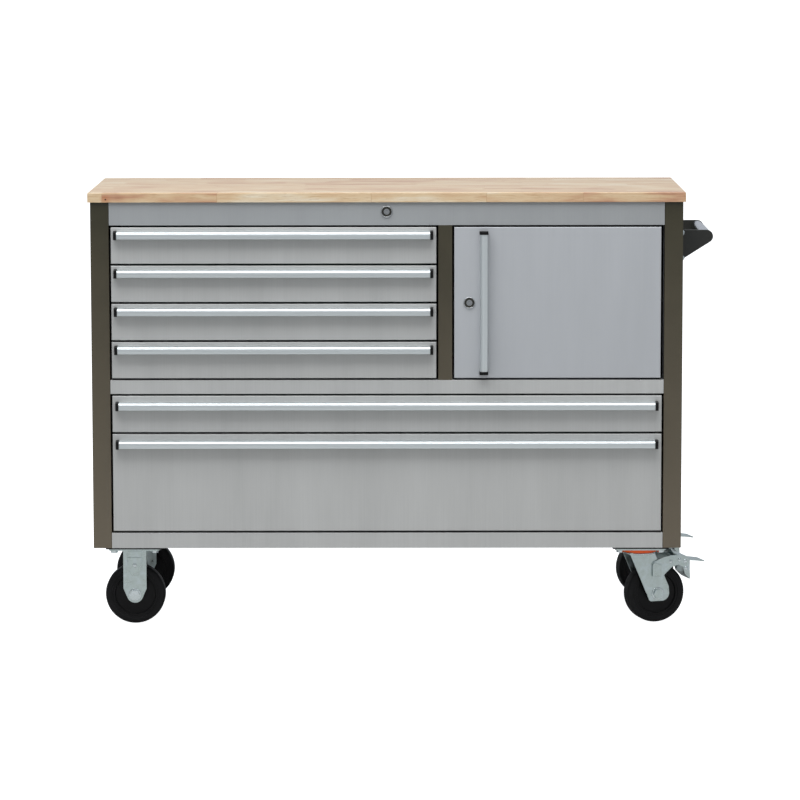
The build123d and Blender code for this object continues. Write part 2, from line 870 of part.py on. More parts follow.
def swivel_leg_outline():
    # Leaning back from under the crown to the axle behind it. X is the trailing direction.
    foot_z = wheel_radius - swivel_leg_foot
    front_x = swivel_trail - swivel_leg_front
    back_x = swivel_trail + swivel_leg_back
    outline = Polygon(
        (-swivel_crown_front, crown_top),
        (swivel_crown_back, crown_top),
        (back_x - 2, wheel_radius + swivel_leg_bend),
        (back_x, foot_z),
        (front_x, foot_z),
        align=None,
    )
    outline = fillet(corner_at(outline, back_x, foot_z), swivel_foot_round_back)
    return fillet(corner_at(outline, front_x, foot_z), swivel_foot_round_front)


def round_axle(points):
    # The brake is drawn round the axle of one wheel size, and grows with the wheel.
    scale = wheel_radius / brake_wheel_radius
    return [(swivel_trail + x * scale, wheel_radius + z * scale) for x, z in points]


def swivel_fork():
    outline = swivel_leg_outline()
    half = fork_inner_width / 2
    crown_z = (crown_top - crown_thickness, crown_top)
    crown_x = (-swivel_crown_front, swivel_crown_back)
    crown_y = (-fork_outer_half, fork_outer_half)
    pieces = [rod_z(0, 0, crown_radius, *crown_z), block(crown_x, crown_y, crown_z)]
    pivot = round_axle([brake_pivot])[0]
    stud_end = fork_outer_half + brake_arm_sheet - brake_pivot_skin
    for side in (-1, 1):
        pieces.append(prism_y(outline, *sorted((side * half, side * fork_outer_half))))
        stud = sorted((side * fork_outer_half, side * stud_end))
        pieces.append(rod_y(*pivot, brake_pivot_radius, *stud))
    fork = joined(pieces)
    fork -= rod_z(0, 0, kingpin_radius + running_clearance, crown_top - 2 * crown_thickness, crown_top + 1)
    axle_hole = axle_radius + bolt_hole_clearance
    return fork - rod_y(swivel_trail, wheel_radius, axle_hole, -hub_width, hub_width)


def brake_pedal():
    # Two arched arms outside the fork, joined by a shoe behind the tyre and by the pedal above it.
    shoe_back = [(69, 66), (69, 46), (70, 27), (58, 39)]
    arm_under = [(54, 54), (44, 59), (30, 55), (18, 44), (11, 37)]
    arm_over = [(-12, 38), (-12, 66), (10, 76), (28, 79.5), (48, 79), (65, 75)]
    arm = Polygon(*round_axle(arm_over + shoe_back + arm_under), align=None)
    arm = fillet(arm.vertices(), brake_arm_round)
    inner = fork_outer_half + member_clearance
    outer = inner + brake_arm_sheet
    shoe = Polygon(*round_axle(shoe_back + [(61.5, 64)]), align=None)
    web_top = round_axle([(28, 79.5), (48, 79), (65, 75)])
    pedal_top = round_axle([(30, 92.5), (36, 84), (48, 77.5), (62, 71), (72, 68), (88, 66.5), (104, 64)])
    pivot = round_axle([brake_pivot])[0]
    pieces = [prism_y(shoe, -inner, inner)]
    for top_line, half_width in ((web_top, inner), (pedal_top, brake_pedal_half_width)):
        under_line = [(x, z - brake_sheet) for x, z in reversed(top_line)]
        pieces.append(prism_y(Polygon(*top_line, *under_line, align=None), -half_width, half_width))
    for side in (-1, 1):
        plate = prism_y(arm, *sorted((side * inner, side * outer)))
        socket = sorted((side * fork_outer_half, side * (outer - brake_pivot_skin)))
        plate -= rod_y(*pivot, brake_pivot_radius + running_clearance, *socket)
        pieces.append(plate)
    return joined(pieces)


def wheel(x, y):
    # A rubber tyre on a moulded core; both turn about Y.
    half = wheel_width / 2
    tyre = rod_y(x, wheel_radius, wheel_radius, y - half, y + half)
    tyre = fillet(tyre.edges().filter_by(GeomType.CIRCLE), wheel_edge_round)
    tyre -= rod_y(x, wheel_radius, tyre_inner_radius, y - wheel_width, y + wheel_width)
    rim_half = half - 1
    core = rod_y(x, wheel_radius, tyre_inner_radius, y - rim_half, y + rim_half)
    for side in (-1, 1):
        recess_y = sorted((y + side * core_web / 2, y + side * hub_width))
        core -= rod_y(x, wheel_radius, tyre_inner_radius - core_rim, *recess_y)
    core += rod_y(x, wheel_radius, hub_radius, y - hub_width / 2, y + hub_width / 2)
    core -= rod_y(x, wheel_radius, axle_radius + running_clearance, y - hub_width, y + hub_width)
    return [tyre, core]


# Assembly

nodes = {
    "worktop": [worktop()],
    "side_panel_left": [side_panel(-1)],
    "side_panel_right": [side_panel(1)],
    "back_panel": [back_panel()],
    "header_rail": [header_rail()],
    "center_divider": [center_divider()],
    "mid_deck": [mid_deck()],
    "bottom_pan": [bottom_pan()],
    "compartment_liner": [compartment_liner()],
    "cabinet_shelf": [cabinet_shelf()],
    "door_skin": [door_skin()],
    "door_inner_pan": [door_inner_pan()],
    "door_pull": door_pull(),
    "door_hinge_bushes": door_hinge_bushes(),
    "door_hinge_pins": door_hinge_pins(),
    "door_lock_housing": [lock_housing(door_lock_x, door_lock_z)],
    "door_lock_plug": [door_lock_plug()],
    "main_lock_housing": [lock_housing(main_lock_x, main_lock_z)],
    "main_lock_plug": [lock_plug(main_lock_x, main_lock_z), main_lock_rod()],
    "push_handle_tube": [handle_tube()],
    "push_handle_brackets": handle_brackets(),
    "caster_support_plates": caster_support_plates(),
    "rigid_caster_forks": [rigid_fork(x, y) for x, y in caster_places(-1)],
    "swivel_caster_plates": [swivel_plate(x, y) for x, y in caster_places(1)],
    "caster_dust_seals": [dust_seal(x, y) for x, y in caster_places(1)],
    "fasteners": caster_bolts() + handle_screws() + [axle_bolt(x, y) for x, y in caster_places(-1)],
}

narrow_x = (narrow_left, narrow_right)
narrow_walls = (-opening_half, divider_left)
wide_x = (-opening_half + side_gap, opening_half - side_gap)
wide_walls = (-opening_half, opening_half)
drawers = [
    (narrow_x, top, narrow_front_height, narrow_walls, narrow_pull_drop, narrow_pull_margin)
    for top in narrow_tops
]
for top, height in ((shallow_top, shallow_front_height), (deep_top, deep_front_height)):
    drawers.append((wide_x, top, height, wide_walls, wide_pull_drop, wide_pull_margin))

slide_outers = []
for number, sizes in enumerate(drawers, start=1):
    pieces, outer = drawer(*sizes)
    slide_outers += outer
    for piece_name, solids in pieces.items():
        nodes[f"drawer_{number}_{piece_name}"] = solids
nodes["slide_outer_members"] = slide_outers
nodes["lock_bar"] = [lock_bar([sizes[1] for sizes in drawers])]

for place_name, (x, y) in zip(("front", "rear"), caster_places(-1)):
    nodes[f"wheel_{place_name}_left"] = wheel(x, y)
for place_name, (x, y) in zip(("front", "rear"), caster_places(1)):
    nodes[f"wheel_{place_name}_right"] = [swivelled(solid, y) for solid in wheel(swivel_trail, 0)]
    fork_pieces = (swivel_fork(), axle_bolt(swivel_trail, 0))
    nodes[f"swivel_fork_{place_name}"] = [swivelled(piece, y) for piece in fork_pieces]
    nodes[f"brake_pedal_{place_name}"] = [swivelled(brake_pedal(), y)]

os.makedirs("parts", exist_ok=True)
for name, solids in nodes.items():
    placed = Pos(-origin_x, -origin_y, 0) * Compound(children=solids)
    export_step(placed, f"parts/{name}.step")
print(len(nodes), "nodes")
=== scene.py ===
import json
import math

import bmesh
import bpy
from mathutils import Matrix, Vector


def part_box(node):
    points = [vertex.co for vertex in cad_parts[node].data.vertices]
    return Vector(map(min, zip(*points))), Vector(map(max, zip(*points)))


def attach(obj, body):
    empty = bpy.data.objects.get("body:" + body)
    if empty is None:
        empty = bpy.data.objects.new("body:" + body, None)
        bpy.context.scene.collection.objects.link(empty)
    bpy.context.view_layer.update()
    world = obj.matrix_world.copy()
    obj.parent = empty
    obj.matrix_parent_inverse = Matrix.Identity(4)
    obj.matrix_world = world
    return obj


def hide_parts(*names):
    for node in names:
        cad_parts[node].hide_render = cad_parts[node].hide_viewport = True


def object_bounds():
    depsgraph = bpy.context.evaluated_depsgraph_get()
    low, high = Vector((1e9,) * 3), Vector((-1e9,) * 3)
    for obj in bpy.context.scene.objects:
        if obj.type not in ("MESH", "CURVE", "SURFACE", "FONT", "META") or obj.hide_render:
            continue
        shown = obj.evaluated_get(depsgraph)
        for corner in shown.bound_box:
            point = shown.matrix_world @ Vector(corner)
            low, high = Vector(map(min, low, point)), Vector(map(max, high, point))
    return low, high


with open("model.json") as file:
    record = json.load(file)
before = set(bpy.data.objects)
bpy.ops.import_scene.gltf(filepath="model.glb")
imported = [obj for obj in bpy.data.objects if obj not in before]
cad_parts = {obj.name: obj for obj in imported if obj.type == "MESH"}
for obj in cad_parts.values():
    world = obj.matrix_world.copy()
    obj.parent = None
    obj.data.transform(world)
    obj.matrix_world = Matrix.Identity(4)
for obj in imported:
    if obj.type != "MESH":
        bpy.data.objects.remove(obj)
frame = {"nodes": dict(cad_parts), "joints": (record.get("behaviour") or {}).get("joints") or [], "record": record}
cadLow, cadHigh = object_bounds()
nodes = frame["nodes"]
joints = {joint["name"]: joint for joint in frame["joints"]}
mm = 0.001
print("frame loaded,", len(nodes), "nodes")


# Small tools

def linear(hexColour):
    # sRGB hex to the linear colour that a shader wants
    channels = [int(hexColour[start:start + 2], 16) / 255 for start in (1, 3, 5)]
    return [c / 12.92 if c <= 0.04045 else ((c + 0.055) / 1.055) ** 2.4 for c in channels] + [1.0]


def addNode(tree, kind, settings=None, links=None, stops=None):
    # One shader node: settings by socket or property name, links from other nodes or their outputs, and
    # a colour ramp's stops as (position, hex colour)
    node = tree.nodes.new(kind)
    for key, value in (settings or {}).items():
        if isinstance(key, int) or key in node.inputs:
            node.inputs[key].default_value = value
        else:
            setattr(node, key, value)
    for key, source in (links or {}).items():
        output = source.outputs[0] if isinstance(source, bpy.types.Node) else source
        tree.links.new(output, node.inputs[key])
    if stops:
        band = node.color_ramp
        while len(band.elements) < len(stops):
            band.elements.new(0.5)
        for element, (position, colour) in zip(band.elements, stops):
            element.position = position
            element.color = linear(colour)
    return node


def newMaterial(name, shader):
    # A material with one Principled shader, whose constants are set on its own sockets
    material = bpy.data.materials.new(name)
    material.use_nodes = True
    tree = material.node_tree
    tree.nodes.clear()
    principled = addNode(tree, "ShaderNodeBsdfPrincipled", shader)
    addNode(tree, "ShaderNodeOutputMaterial", links={"Surface": principled})
    return material, tree, principled


def objectPlace(tree):
    return addNode(tree, "ShaderNodeTexCoord").outputs["Object"]


def stretchedNoise(tree, place, sizes, detail=2.0, roughness=0.55):
    # Noise whose features measure sizes in metres along X, Y and Z
    scaled = addNode(tree, "ShaderNodeMapping", {"Scale": [1 / size for size in sizes]}, {"Vector": place})
    noise = addNode(tree, "ShaderNodeTexNoise", {"Scale": 1.0, "Detail": detail, "Roughness": roughness},
                    {"Vector": scaled})
    return noise.outputs["Fac"]


noiseSpan = {"From Min": 0.3, "From Max": 0.7}  # nearly all of a noise's values lie in here
foldRadius = 0.9 * mm


def colourAndGloss(tree, shader, colourBy, stops, glossBy, low, high):
    # Base colour runs through the stops, and roughness from low to high
    tint = addNode(tree, "ShaderNodeValToRGB", links={"Fac": colourBy}, stops=stops)
    gloss = addNode(tree, "ShaderNodeMapRange", {**noiseSpan, "To Min": low, "To Max": high},
                    {"Value": glossBy})
    tree.links.new(tint.outputs["Color"], shader.inputs["Base Color"])
    tree.links.new(gloss.outputs["Result"], shader.inputs["Roughness"])
    return tint


def relief(tree, shader, height, distance, strength):
    # Fine relief, with every sharp fold shaded as if it had a small bend radius
    folds = addNode(tree, "ShaderNodeBevel", {"Radius": foldRadius})
    surface = addNode(tree, "ShaderNodeBump", {"Distance": distance, "Strength": strength},
                      {"Height": height, "Normal": folds})
    tree.links.new(surface.outputs["Normal"], shader.inputs["Normal"])


# Materials

stainless = {
    "metallic": 0.4,           # a full metal would mirror the pale room and lose the shadows on it
    "grainWidth": 2.2 * mm,    # real strokes are 0.1 mm; drawn as coarse as they need to show
    "grainLength": 300 * mm,
    "cloudSize": 60 * mm,
    "cloudHeight": 300 * mm,
    "roughness": (0.5, 0.6),
}


def brushedStainlessSteel(name, light, dark):
    # Type 430 sheet, belt-brushed upright: satin grey, faint upright streaks, wide soft reflections
    material, tree, steel = newMaterial(name, {"Metallic": stainless["metallic"], "Roughness": 0.5})
    place = objectPlace(tree)
    width, cloud = stainless["grainWidth"], stainless["cloudSize"]
    streaks = stretchedNoise(tree, place, (width, width, stainless["grainLength"]), 3.0, 0.65)
    clouds = stretchedNoise(tree, place, (cloud, cloud, stainless["cloudHeight"]), 3.0)
    mixed = addNode(tree, "ShaderNodeMix", {"data_type": "FLOAT", "Factor": 0.5}, {2: streaks, 3: clouds})
    colourAndGloss(tree, steel, mixed, [(0.34, dark), (0.66, light)], streaks, *stainless["roughness"])
    relief(tree, steel, streaks, distance=0.03 * mm, strength=0.2)
    return material


coating = {
    "driftSize": 90 * mm,
    "floorReflectionFullBelow": 150 * mm,     # heights between which the painted reflection of the floor fades out
    "floorReflectionGoneAbove": 900 * mm,
}


def powderCoat(name, light, dark, gloss, pebble, shine=0.0, foot=None):
    # Baked polyester powder: semi-gloss with a faint orange peel that breaks up reflections. foot is the
    # paler colour painted in near the floor, a painted reflection of the pale floor
    material, tree, coat = newMaterial(name, {"Roughness": gloss, "Coat Weight": shine,
                                              "Coat Roughness": 0.2})
    place = objectPlace(tree)
    peel = stretchedNoise(tree, place, (pebble,) * 3, 3.0)
    drift = stretchedNoise(tree, place, (coating["driftSize"],) * 3)
    tint = colourAndGloss(tree, coat, drift, [(0.35, dark), (0.65, light)], drift, gloss - 0.04,
                          gloss + 0.05)
    # Painted reflection of the pale floor: the colour turns to foot towards the floor
    if foot:
        height = addNode(tree, "ShaderNodeSeparateXYZ", links={"Vector": place}).outputs["Z"]
        floorReflectionShare = addNode(tree, "ShaderNodeMapRange", {"From Min": coating["floorReflectionFullBelow"],
                                                         "From Max": coating["floorReflectionGoneAbove"],
                                                         "To Min": 1.0, "To Max": 0.0}, {"Value": height})
        floorReflectionMixed = addNode(tree, "ShaderNodeMix", {"data_type": "RGBA", 7: linear(foot)},
                         {0: floorReflectionShare, 6: tint})
        tree.links.new(floorReflectionMixed.outputs[2], coat.inputs["Base Color"])
    relief(tree, coat, peel, distance=0.1 * mm, strength=0.2)
    return material


# Sizes of the other finishes' patterns. Grit, pores, die lines and turning marks are finer on the real
# thing, a few tenths of a millimetre, and drawn as coarse as they need to show
patternSize = {
    "zincClouds": 16 * mm,
    "zincRipples": 5 * mm,
    "dieLineLength": 400 * mm,
    "dieLineWidth": 0.7 * mm,
    "plasticGrit": 0.6 * mm,
    "plasticDrift": 25 * mm,
    "rubberDust": 18 * mm,
    "rubberPores": 1.2 * mm,
    "turningMarks": 0.8 * mm,
}


def brightSteel(name, tones, gloss):
    # Zinc plate with clear passivate, or polished tube: pale cool metal, cloudy, bluish where light hits it
    material, tree, steel = newMaterial(name, {"Metallic": 1.0, "Roughness": gloss})
    place = objectPlace(tree)
    clouds = stretchedNoise(tree, place, (patternSize["zincClouds"],) * 3, 4.0, 0.6)
    ripples = stretchedNoise(tree, place, (patternSize["zincRipples"],) * 3)
    colourAndGloss(tree, steel, clouds, list(zip((0.3, 0.5, 0.72), tones)), clouds, gloss - 0.06,
                   gloss + 0.12)
    relief(tree, steel, ripples, distance=0.1 * mm, strength=0.2)
    return material


def anodisedAluminium():
    # Satin anodised extrusion: bright, cool, with hairline die marks along its length (local X)
    material, tree, alloy = newMaterial("satin_anodised_aluminium", {"Metallic": 1.0, "Roughness": 0.45})
    length, width = patternSize["dieLineLength"], patternSize["dieLineWidth"]
    dieLines = stretchedNoise(tree, objectPlace(tree), (length, width, width))
    colourAndGloss(tree, alloy, dieLines, [(0.3, "#d2d9db"), (0.7, "#dde3e5")], dieLines, 0.42, 0.5)
    relief(tree, alloy, dieLines, distance=0.02 * mm, strength=0.1)
    return material


def mouldedPlastic(name, light, dark, gloss, shine=0.5):
    # Injection-moulded nylon or polyurethane: fine spark-eroded texture, soft sheen
    material, tree, plastic = newMaterial(name, {"Roughness": gloss, "IOR": 1.53,
                                                 "Specular IOR Level": shine})
    place = objectPlace(tree)
    grit = stretchedNoise(tree, place, (patternSize["plasticGrit"],) * 3)
    drift = stretchedNoise(tree, place, (patternSize["plasticDrift"],) * 3)
    colourAndGloss(tree, plastic, drift, [(0.35, dark), (0.65, light)], grit, gloss - 0.08, gloss + 0.1)
    relief(tree, plastic, grit, distance=0.06 * mm, strength=0.3)
    return material


def tyreRubber():
    # Vulcanised rubber: near black, dull, a little dusty, with a faint moulded grain
    material, tree, rubber = newMaterial("black_vulcanised_rubber",
                                         {"Roughness": 0.5, "IOR": 1.52, "Specular IOR Level": 0.16})
    place = objectPlace(tree)
    dust = stretchedNoise(tree, place, (patternSize["rubberDust"],) * 3, 4.0, 0.65)
    pores = stretchedNoise(tree, place, (patternSize["rubberPores"],) * 3)
    colourAndGloss(tree, rubber, dust, [(0.35, "#0b0b0c"), (0.7, "#151517")], dust, 0.42, 0.66)
    relief(tree, rubber, pores, distance=0.1 * mm, strength=0.35)
    return material


def turnedChrome(name, low, high):
    # Chrome plate on the locks' turned parts: mirror-like with fine turning marks
    material, tree, chrome = newMaterial(name, {"Metallic": 1.0, "Roughness": 0.16})
    marks = stretchedNoise(tree, objectPlace(tree), (patternSize["turningMarks"],) * 3, 3.0)
    colourAndGloss(tree, chrome, marks, [(0.3, low), (0.7, high)], marks, 0.12, 0.24)
    return material


wood = {
    "staveWidth": 46 * mm,
    "blockLength": 230 * mm,
    "lengthChange": 90 * mm,
    "changeRate": (2.3, 7.3),  # how fast block lengths change, per metre along a row and per row
    "rowSlide": 7,             # how many block lengths a row can be shifted by
    "fingerPitch": 7.6 * mm,
    "fingerLength": 9 * mm,
    "poreWidth": 1.6 * mm,     # real pores are 0.2 mm wide; drawn as coarse as they need to show
    "poreLength": 26 * mm,
    "bandWidth": 7 * mm,
    "bandLength": 190 * mm,
    "blotchWidth": 20 * mm,
    "blotchLength": 95 * mm,
    "bandShare": 0.32,         # how far bands, blotches and chance each move a block through its tints
    "blotchShare": 0.36,
    "chanceShare": 0.32,
    "tints": [(0.1, "#d8ccb5"), (0.35, "#cfb896"), (0.58, "#c6a885"), (0.78, "#b68c6f"), (1.0, "#8c6047")],
    "jointTint": "#96683f",
    "jointDepth": 0.45,
    "staveLine": 0.012,      # line widths as shares of a stave and of a block
    "blockLine": 0.004,
    "knot": (37 * mm, 14 * mm),  # from the left end, and below the top, on the front edge
    "knotCore": 0.99 * mm,     # the darkest part's radius
    "knotRadius": 2.2 * mm,
    "knotTint": "#2a150c",
    "haloRadius": 13.2 * mm,
    "haloDepth": 0.55,
    "haloTint": "#b06c42",
}


def fingerJointedRubberwood():
    # Oiled rubberwood staves with finger joints: cream to pink-brown blocks, short dark pores, satin oil
    material, tree, lumber = newMaterial("oiled_finger_jointed_rubberwood",
                                         {"Roughness": 0.42, "IOR": 1.47, "Coat Weight": 0.35,
                                          "Coat Roughness": 0.2})
    place = objectPlace(tree)
    axes = addNode(tree, "ShaderNodeSeparateXYZ", links={"Vector": place}).outputs
    maths, rescale = "ShaderNodeMath", "ShaderNodeMapRange"
    stave = addNode(tree, maths, {"operation": "DIVIDE", 1: wood["staveWidth"]}, {0: axes["Y"]})
    row = addNode(tree, maths, {"operation": "FLOOR"}, {0: stave})
    rowChance = addNode(tree, "ShaderNodeTexWhiteNoise", {"noise_dimensions": "1D"}, {"W": row})

    # Block ends shift from row to row, and the fingers make each end a zigzag
    finger = addNode(tree, maths, {"operation": "DIVIDE", 1: wood["fingerPitch"]}, {0: axes["Y"]})
    tooth = addNode(tree, maths, {"operation": "PINGPONG", 1: 0.5}, {0: finger})
    zigzag = addNode(tree, maths, {"operation": "MULTIPLY", 1: 2 * wood["fingerLength"]}, {0: tooth})
    farthest = wood["rowSlide"] * wood["blockLength"]
    slide = addNode(tree, maths, {"operation": "MULTIPLY", 1: farthest}, {0: rowChance})
    slowly = addNode(tree, maths, {"operation": "MULTIPLY", 1: wood["changeRate"][0]}, {0: axes["X"]})
    apart = addNode(tree, maths, {"operation": "MULTIPLY", 1: wood["changeRate"][1]}, {0: row})
    ripplePlace = addNode(tree, "ShaderNodeCombineXYZ", links={"X": slowly, "Y": apart})
    ripple = addNode(tree, "ShaderNodeTexNoise", {"Scale": 1.0, "Detail": 0.0}, {"Vector": ripplePlace})
    swing = addNode(tree, maths, {"operation": "MULTIPLY", 1: 4 * wood["lengthChange"]}, {0: ripple})
    shifted = addNode(tree, maths, {"operation": "ADD"}, {0: axes["X"], 1: slide})
    uneven = addNode(tree, maths, {"operation": "ADD"}, {0: zigzag, 1: swing})
    along = addNode(tree, maths, {"operation": "ADD"}, {0: shifted, 1: uneven})
    count = addNode(tree, maths, {"operation": "DIVIDE", 1: wood["blockLength"]}, {0: along})
    block = addNode(tree, maths, {"operation": "FLOOR"}, {0: count})
    blockKey = addNode(tree, "ShaderNodeCombineXYZ", links={"X": row, "Y": block})
    chance = addNode(tree, "ShaderNodeTexWhiteNoise", {"noise_dimensions": "2D"}, {"Vector": blockKey})

    # Each block gets its own stretch of grain
    offset = addNode(tree, "ShaderNodeVectorMath", {"operation": "ADD"},
                     {0: place, 1: chance.outputs["Color"]})
    bands, pores, blotches = (
        stretchedNoise(tree, offset, (wood[name + "Length"], wood[name + "Width"], wood[name + "Width"]),
                       detail, roughness)
        for name, detail, roughness in (("band", 3.0, 0.6), ("pore", 3.0, 0.7), ("blotch", 2.0, 0.55)))
    banding = addNode(tree, rescale, {**noiseSpan, "To Min": 0.0, "To Max": wood["bandShare"]},
                      {"Value": bands})
    blotching = addNode(tree, rescale, {"From Min": 0.34, "From Max": 0.66, "To Min": 0.0,
                                        "To Max": wood["blotchShare"]}, {"Value": blotches})
    grain = addNode(tree, maths, {"operation": "ADD"}, {0: banding, 1: blotching})
    luck = addNode(tree, maths, {"operation": "MULTIPLY", 1: wood["chanceShare"]}, {0: chance})
    tone = addNode(tree, maths, {"operation": "ADD"}, {0: luck, 1: grain})
    colour = addNode(tree, "ShaderNodeValToRGB", links={"Fac": tone}, stops=wood["tints"]).outputs["Color"]

    # Dark joint lines where staves and blocks meet, and dark pores
    lines = []
    for across, width in ((stave, wood["staveLine"]), (count, wood["blockLine"])):
        near = addNode(tree, maths, {"operation": "PINGPONG", 1: 0.5}, {0: across})
        lines.append(addNode(tree, rescale, {"From Min": 0.0, "From Max": width, "To Min": 1.0,
                                             "To Max": 0.0}, {"Value": near}))
    bothLines = addNode(tree, maths, {"operation": "MAXIMUM"}, {0: lines[0], 1: lines[1]})
    glued = addNode(tree, maths, {"operation": "MULTIPLY", 1: wood["jointDepth"]}, {0: bothLines})
    darkPores = addNode(tree, rescale, {"From Min": 0.28, "From Max": 0.46, "To Min": 0.5, "To Max": 0.0},
                        {"Value": pores})
    shade = addNode(tree, maths, {"operation": "MAXIMUM"}, {0: glued, 1: darkPores})

    # One small knot with a brown halo
    low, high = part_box("worktop")
    knotPlace = (low.x + wood["knot"][0], low.y, high.z - wood["knot"][1])
    away = addNode(tree, "ShaderNodeVectorMath", {"operation": "DISTANCE", 1: knotPlace}, {0: place})
    knot, halo = (
        addNode(tree, rescale, {"From Min": inner, "From Max": outer, "To Min": depth, "To Max": 0.0},
                {"Value": away.outputs["Value"]})
        for inner, outer, depth in ((wood["knotCore"], wood["knotRadius"], 1.0),
                                    (wood["knotRadius"], wood["haloRadius"], wood["haloDepth"])))
    for factor, stain in ((shade, "jointTint"), (halo, "haloTint"), (knot, "knotTint")):
        colour = addNode(tree, "ShaderNodeMix", {"data_type": "RGBA", 7: linear(wood[stain])},
                         {0: factor, 6: colour}).outputs[2]
    gloss = addNode(tree, rescale, {**noiseSpan, "To Min": 0.36, "To Max": 0.5}, {"Value": pores})
    tree.links.new(colour, lumber.inputs["Base Color"])
    tree.links.new(gloss.outputs["Result"], lumber.inputs["Roughness"])
    relief(tree, lumber, pores, distance=0.12 * mm, strength=0.3)
    return material


finish = {
    "rubberwood": fingerJointedRubberwood(),
    "stainless": brushedStainlessSteel("upright_brushed_stainless", "#bebfbe", "#b3b4b3"),
    "doorStainless": brushedStainlessSteel("upright_brushed_stainless_door", "#b6b9bd", "#b0b3b7"),
    # The header's sheet is drawn darker than the drawer fronts: painted shade from the worktop's overhang
    "shadedHeaderStainless": brushedStainlessSteel("upright_brushed_stainless_header_painted_shade", "#a0a3a5", "#999c9e"),
    # The posts' paler foot colour, #615849, is a painted reflection of the floor
    "bronze": powderCoat("olive_bronze_powder_coat", "#2f2c1b", "#292717", 0.36, 0.9 * mm, 0.1, "#615849"),
    "grey": powderCoat("grey_textured_powder_coat", "#696c6f", "#64676a", 0.5, 1.2 * mm),
    "dark": powderCoat("dark_grey_powder_coat", "#282824", "#1f201d", 0.32, 0.9 * mm, 0.3),
    "black": powderCoat("black_dipped_primer", "#0c0c0c", "#070707", 0.6, 1.2 * mm),
    "zinc": brightSteel("bright_zinc_plate", ("#b2bebb", "#bfcbca", "#cdd9dd"), 0.3),
    "freshZinc": brightSteel("polished_zinc_plate", ("#bcc6c6", "#ccd5d7", "#dde6ea"), 0.2),
    "tube": brightSteel("polished_steel_tube", ("#bcbfc9", "#cccfd9", "#dcdfe8"), 0.14),
    "aluminium": anodisedAluminium(),
    "blackPlastic": mouldedPlastic("black_moulded_nylon", "#0a0a0a", "#050506", 0.42, 0.2),
    "wheelCore": mouldedPlastic("black_moulded_wheel_core", "#0e0e10", "#09090a", 0.4, 0.16),
    "orange": mouldedPlastic("orange_moulded_polyurethane", "#ff6410", "#f45206", 0.4),
    "rubber": tyreRubber(),
    "chrome": turnedChrome("polished_chrome_plate", "#b4b7b9", "#d0d2d4"),
    # Darker chrome for the lock's recess and key plug: painted shade in the recess
    "recessShadeChrome": turnedChrome("chrome_plate_painted_recess_shade", "#474641", "#5f5e58"),
}
print("materials made:", len(finish))

slotFinish = {
    "rubberwood": "rubberwood", "brushed_stainless": "stainless", "bronze_coat": "bronze",
    "grey_coat": "grey", "zinc_steel": "zinc", "anodised_aluminium": "aluminium",
    "black_plastic": "blackPlastic", "black_steel": "black", "dark_coat": "dark", "orange_seal": "orange",
    "black_rubber": "rubber", "lock_chrome": "chrome",
}
# Nodes whose finish differs from the rest of their slot
nodeFinish = {
    # header_rail's darker stainless is painted shade under the worktop
    "door_skin": "doorStainless", "header_rail": "shadedHeaderStainless", "fasteners": "freshZinc",
    # The slides' outer members and the hinge pins are drawn black: painted shade that keeps the gaps between the
    # drawers and beside the door dark
    "push_handle_tube": "tube", "slide_outer_members": "black", "door_hinge_pins": "black",
    "caster_support_plates": "black",
}
# The slides' middle members are drawn black too: painted shade in the gaps between the drawers
for node in nodes:
    if node.endswith("_slide_middles"):
        nodeFinish[node] = "black"
for subpart in frame["record"]["subparts"]:
    node = subpart["node"]
    mesh = nodes[node].data
    mesh.materials.clear()
    mesh.materials.append(finish[nodeFinish.get(node, slotFinish[subpart["material_slot"]])])


# Building shapes

smoothBelow = math.radians(35)   # folds gentler than this are shaded as one surface
softenAbove = math.radians(40)   # and edges sharper than this can be rounded


def roundedOutline(corners, steps=6):
    # corners is a list of (x, y, radius); each corner with a radius becomes an arc
    outline = []
    for index, (x, y, radius) in enumerate(corners):
        here = Vector((x, y))
        before = Vector(corners[index - 1][:2]) - here
        after = Vector(corners[(index + 1) % len(corners)][:2]) - here
        if radius == 0:
            outline.append(here)
            continue
        before.normalize()
        after.normalize()
        half = before.angle(after) / 2
        centre = here + (before + after).normalized() * radius / math.sin(half)
        start = here + before * radius / math.tan(half) - centre
        end = here + after * radius / math.tan(half) - centre
        turn = math.atan2(start.cross(end), start.dot(end))
        for step in range(steps + 1):
            angle = turn * step / steps
            outline.append(centre + Matrix.Rotation(angle, 2) @ start)
    return outline


def mirrored(corners):
    # The same corners on the other side, in the order that carries the outline on
    return [(-along, radius, corner) for along, radius, corner in reversed(corners)]


def finishPiece(name, shape, material, body, place=None):
    # The mesh becomes a named piece that rides on its body
    bmesh.ops.recalc_face_normals(shape, faces=shape.faces)
    mesh = bpy.data.meshes.new(name)
    shape.to_mesh(mesh)
    shape.free()
    mesh.materials.append(material)
    piece = bpy.data.objects.new(name, mesh)
    bpy.context.scene.collection.objects.link(piece)
    if place is not None:
        piece.matrix_world = place
    mesh.shade_smooth()
    mesh.set_sharp_from_angle(angle=smoothBelow)
    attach(piece, body)
    return piece


def softenEdges(piece, width, segments=2):
    bevel = piece.modifiers.new("softened edges", "BEVEL")
    bevel.width = width
    bevel.segments = segments
    bevel.limit_method = "ANGLE"
    bevel.angle_limit = softenAbove
    bevel.harden_normals = True


def extruded(outline, low, high):
    # A prism along local X; the outline lies across it as (y, z)
    shape = bmesh.new()
    ends = [[shape.verts.new((x, y, z)) for y, z in outline] for x in (low, high)]
    shape.faces.new(ends[0])
    shape.faces.new(list(reversed(ends[1])))
    count = len(outline)
    for index in range(count):
        following = (index + 1) % count
        shape.faces.new((ends[0][index], ends[1][index], ends[1][following], ends[0][following]))
    return shape


